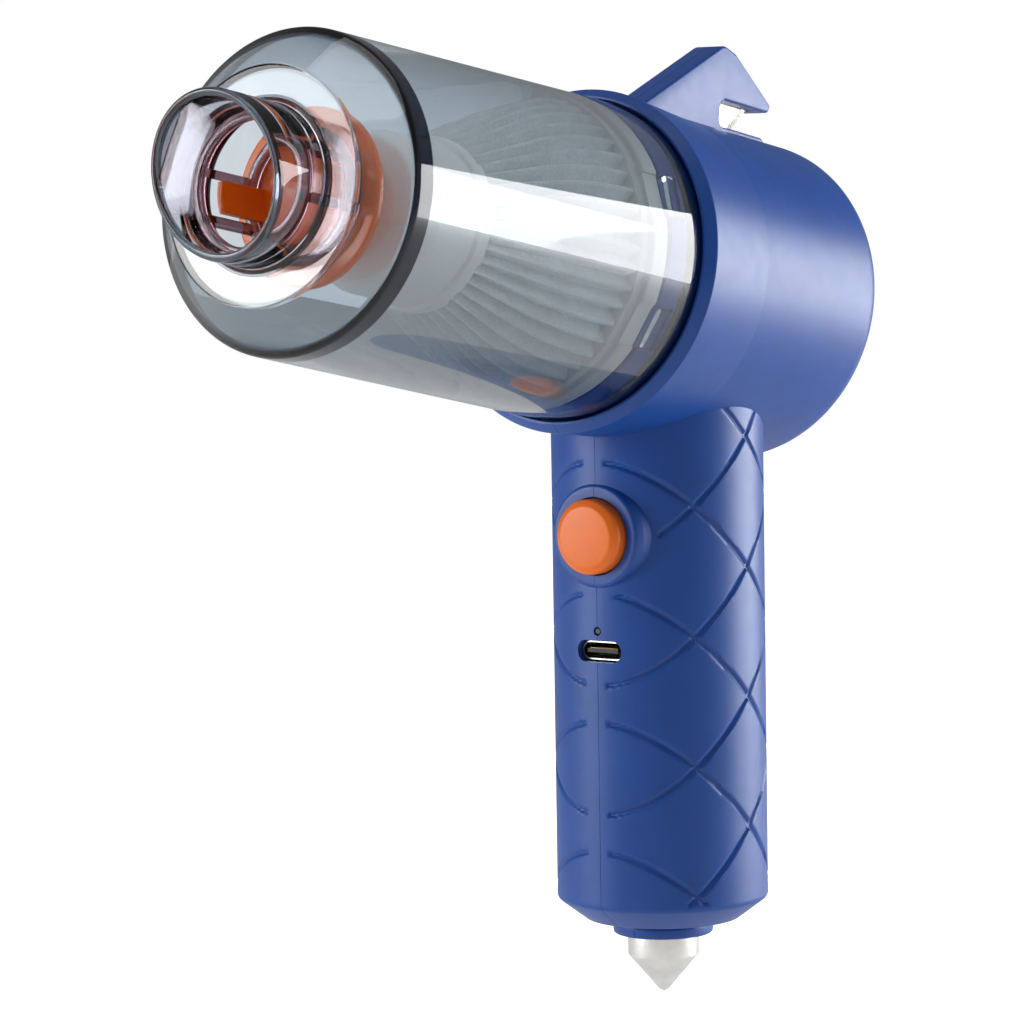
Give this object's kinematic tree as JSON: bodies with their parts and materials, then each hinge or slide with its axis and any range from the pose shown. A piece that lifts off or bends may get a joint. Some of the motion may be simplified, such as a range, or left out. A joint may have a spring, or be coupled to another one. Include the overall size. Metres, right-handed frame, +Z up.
{
  "type": "hand-held car vacuum",
  "caption": "Cordless pistol-grip car vacuum: clear tapered dust cup with a slanted nozzle, pleated filter, fan motor, belt-cutter fin on top and a pointed glass breaker under the handle.",
  "frame": {"origin": "middle of the grip on the handle's axis", "axes": "+Z up along the handle, -Y the way the nozzle points (9.4 degrees upwards), +X to the right seen from behind the nozzle's back"},
  "size_m": [0.0606, 0.1544, 0.1721],
  "materials": {
    "smoked_clear_plastic": "clear grey-blue, polished",
    "orange_plastic": "satin",
    "filter_frame_plastic": "off-white satin",
    "filter_paper": "white pleated filter paper",
    "seal_rubber": "matt black",
    "blue_plastic": "satin blue",
    "blade_steel": "bright steel",
    "black_plastic": "matt black",
    "motor_steel": "zinc-plated steel",
    "armature_iron": "copper-wound core",
    "magnet": "dark ferrite",
    "brass": "plain",
    "black_insulation": "black wire insulation",
    "red_insulation": "red wire insulation",
    "board": "green circuit board",
    "clear_plastic": "clear",
    "cell_wrap": null,
    "tip_steel": "polished steel"
  },
  "bodies": {
    "housing": {"housing_left": "blue_plastic", "housing_right": "blue_plastic", "rear_cover": "blue_plastic", "belt_cutter_blade": "blade_steel", "cup_seal": "seal_rubber", "fan_shroud": "black_plastic", "motor_mount": "black_plastic", "motor_can": "motor_steel", "motor_end_cap": "black_plastic", "magnet_top": "magnet", "magnet_bottom": "magnet", "front_bush": "brass", "rear_bush": "brass", "motor_screw_left": "motor_steel", "motor_screw_right": "motor_steel", "motor_terminal_left": "brass", "motor_terminal_right": "brass", "motor_lead_left": "black_insulation", "motor_lead_right": "red_insulation", "switch_body": "black_plastic", "circuit_board": "board", "usb_shell": "blade_steel", "usb_tongue": "black_plastic", "status_led": "clear_plastic", "light_pipe": "clear_plastic", "battery_cell": "cell_wrap", "cell_tab_top": "blade_steel", "cell_tab_bottom": "blade_steel", "window_breaker": "tip_steel", "housing_screw_1": "motor_steel", "housing_screw_2": "motor_steel", "housing_screw_3": "motor_steel", "housing_screw_4": "motor_steel", "housing_screw_5": "motor_steel"},
    "filter": {"filter_cap": "filter_frame_plastic", "filter_pleats": "filter_paper", "filter_frame": "filter_frame_plastic", "filter_seal": "seal_rubber"},
    "cup": {"dust_cup": "smoked_clear_plastic", "inlet_cage": "smoked_clear_plastic", "inlet_deflector": "orange_plastic"},
    "rotor": {"impeller": "black_plastic", "motor_shaft": "motor_steel", "armature": "armature_iron"},
    "button": {"power_button": "orange_plastic"},
    "plunger": {"switch_plunger": "black_plastic"}
  },
  "joints": [
    {"name": "filter_pull", "type": "slide", "parent": "housing", "child": "filter", "axis": [0, -0.9866, 0.1633], "range_m": [0, 0.012]},
    {"name": "cup_pull", "type": "slide", "parent": "filter", "child": "cup", "axis": [0, -0.9866, 0.1633], "range_m": [0, 0.07]},
    {"name": "rotor_spin", "type": "hinge", "parent": "housing", "child": "rotor", "pos_m": [0, 0, 0.07], "axis": [0, -0.9866, 0.1633], "continuous": true},
    {"name": "button_press", "type": "slide", "parent": "housing", "child": "button", "axis": [0, 1, 0], "range_m": [0, 0.001], "stiffness_N_per_m": 400},
    {"name": "plunger_press", "type": "slide", "parent": "housing", "child": "plunger", "axis": [0, 1, 0], "range_m": [0, 0.001]}
  ],
  "couplings": [
    {"joint": "plunger_press", "follows": "button_press", "ratio": 1}
  ]
}
